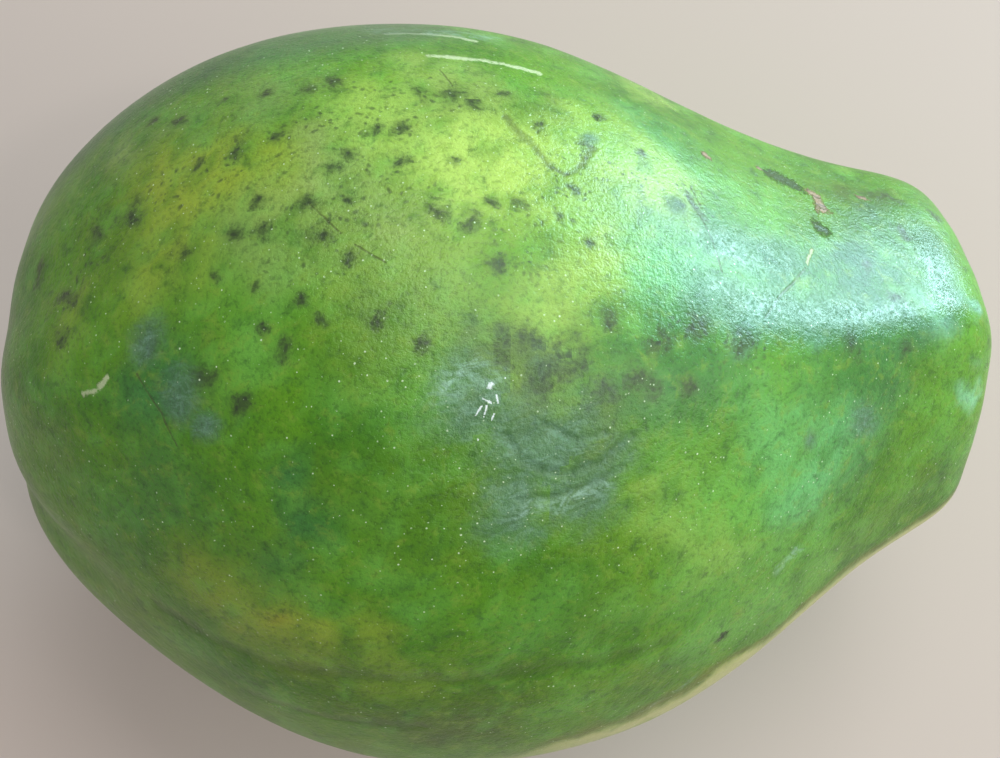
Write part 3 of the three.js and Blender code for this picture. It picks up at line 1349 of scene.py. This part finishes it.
# %% Underside, painted reflection
REFLECTED_STRAW = srgb(200, 200, 138)
RIPE_GREEN = srgb(150, 176, 62)
BORDER_BROWN = srgb(112, 104, 44)
REFLECTION_STARTS = (63, 68)  # degrees from ridge one, from green to fully pale
BORDER_TURN = 63.5
BORDER_HALF_WIDTH = 1.6

edge = turn + cloud_parts["X"] * 16
edge = edge - along.smooth(120, 170) * 3
torn_edge = edge + mottle * 24 - 12
# painted reflection of the table past ridge two
underside_reflection = (edge + mottle * 4 - 2).smooth(*REFLECTION_STARTS) * along.smooth(84, 112)
colour = colour.paint(RIPE_GREEN, underside_reflection * torn_edge.smooth(78, 124, 0.6, 0))
colour = colour.paint(REFLECTED_STRAW, underside_reflection * torn_edge.smooth(66, 84, 0.85, 0))
border = ((edge - BORDER_TURN) / BORDER_HALF_WIDTH).bell() * along.smooth(84, 108)
colour = colour.paint(BORDER_BROWN, border * 0.5)
print("pale band starts", BORDER_TURN, "degrees from ridge one")

# %% [markdown]
# ### Ends of the fruit
#
# The stem end has a paler rim round the ringed corky scar that the stalk left, and a dark
# lip where the skin broke from it, darkened further by painted shade in its groove. The
# blossom tip keeps a small brown spot.

# %% Ends of the fruit
RIM_GREEN = srgb(120, 160, 76)
SCAR_CORK = srgb(168, 150, 122)
SCAR_RING = srgb(96, 76, 52)
LIP_BROWN_AND_SHADE = srgb(70, 66, 34)
TIP_BROWN = srgb(84, 72, 46)
LIP_RADIUS = 9.6
LIP_HALF_WIDTH = 0.9

stem_end = along.smooth(168, 180)
rim = (reach + cloud_parts["Y"] * 16).smooth(12, 26, 1, 0) * stem_end
colour = colour.paint(RIM_GREEN, rim * 0.7)
scar = (reach + grain * 1.6).smooth(8.8, 10.0, 1, 0) * stem_end
colour = colour.paint(SCAR_CORK, scar)
rings = ((reach + grain * 5 + cloud_parts["Y"] * 6) * 2.0).sin().smooth(-0.2, 0.9)
cracks = fibres.smooth(0.42, 0.62, 1, 0)
colour = colour.paint(SCAR_RING, scar * (rings * 0.3 + 0.6 * cracks))
# dark lip at the break, partly painted shade in the groove round the scar
lip = ((reach + grain * 1.6 - LIP_RADIUS) / LIP_HALF_WIDTH).bell() * stem_end
colour = colour.paint(LIP_BROWN_AND_SHADE, lip * 0.7)
tip = (reach + grain * 3).smooth(4.0, 7.5, 1, 0) * along.smooth(20, 40, 1, 0)
colour = colour.paint(TIP_BROWN, tip * 0.9)
print("stem scar:", 2 * LIP_RADIUS, "mm across")

# %% [markdown]
# ### Pores
#
# The whole skin breathes through pores of many sizes, none over 0.4 mm wide, and their
# pale points are painted glints. A cell pattern scatters them, and each cell's own colour sets
# the size of its pore.

# %% Pores with painted glints
PORE_SPACING = 0.85
PORE_SHARE = 0.22  # the widest pore's radius, as a share of the spacing
PORE_GLINT_COLOUR = srgb(214, 236, 196)

pore_cells = cells(here, PORE_SPACING)
pore_size = channels(pore_cells["Color"])["Green"] ** 2 * PORE_SHARE
pore_show = cloud_parts["Z"].smooth(-0.16, 0.06, 0.25, 1) * grain.smooth(0.42, 0.56)
# painted glints: pale points where light catches the pores
pore_glint = (pore_size - pore_cells).smooth(-0.03, 0.07) * pore_show
colour = colour.paint(PORE_GLINT_COLOUR, pore_glint * 0.9)
print("widest pore:", round(2 * PORE_SHARE * PORE_SPACING, 2), "mm")

# %% [markdown]
# ### Relief and gloss
#
# The wax is thin and even, so the gloss shows all the relief of the skin: grain under a
# millimetre, dents under the marks, ridges on the scars. A slower noise adds the undulation
# that breaks long highlights. These are too fine for the mesh, so one bump carries them all.
# Heights are in millimetres.

# %% Relief and shader
SLOW_SIZE = 2.2
ROUGHNESS = 0.31
IOR = 1.47
BLOOM_COAT = 0.55
BLOOM_COAT_ROUGHNESS = 0.25

height = grain * (0.18 + 0.1 * rubbed + 0.1 * bloom + 0.4 * scar)
height = height + noise(here, SLOW_SIZE, 2, 0.5) * 0.15 + rings * scar * 0.15 - lip * 0.3
height = height + scar_and_glint * 0.1 + cork_spot * 0.3 - dark_spot * 0.25
height = height - scratch * 0.05 - wrinkle * 0.22 - fold * 0.15
bump = shade.node(
    "ShaderNodeBump", inputs={"Strength": 1.0, "Distance": 1.0, "Height": height * MM}
)
glossy = mark("glossy", small_clouds, 3).smooth(0.3, 1.3, 1, 0)
rough = ROUGHNESS + rubbed * 0.06 + scar * 0.35 + scar_and_glint * 0.15 + cloud_parts["X"] * 0.2
rough = rough - glossy * 0.16 - bloom * 0.06
skin = shade.node(
    "ShaderNodeBsdfPrincipled",
    inputs={
        "Base Color": colour,
        "Roughness": rough,
        "Normal": bump,
        "IOR": IOR,
        "Coat Weight": bloom * clotted * BLOOM_COAT,
        "Coat Roughness": BLOOM_COAT_ROUGHNESS,
    },
)
shade.node("ShaderNodeOutputMaterial", inputs=[skin])
print("skin material:", len(skin_material.node_tree.nodes), "nodes")

# %% [markdown]
# ## Hand over
#
# The skin takes the place of the packed solid and moves with it. The table is part of the
# stage, not of the fruit.

# %% Hand over
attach(papaya, "root")
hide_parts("papaya")
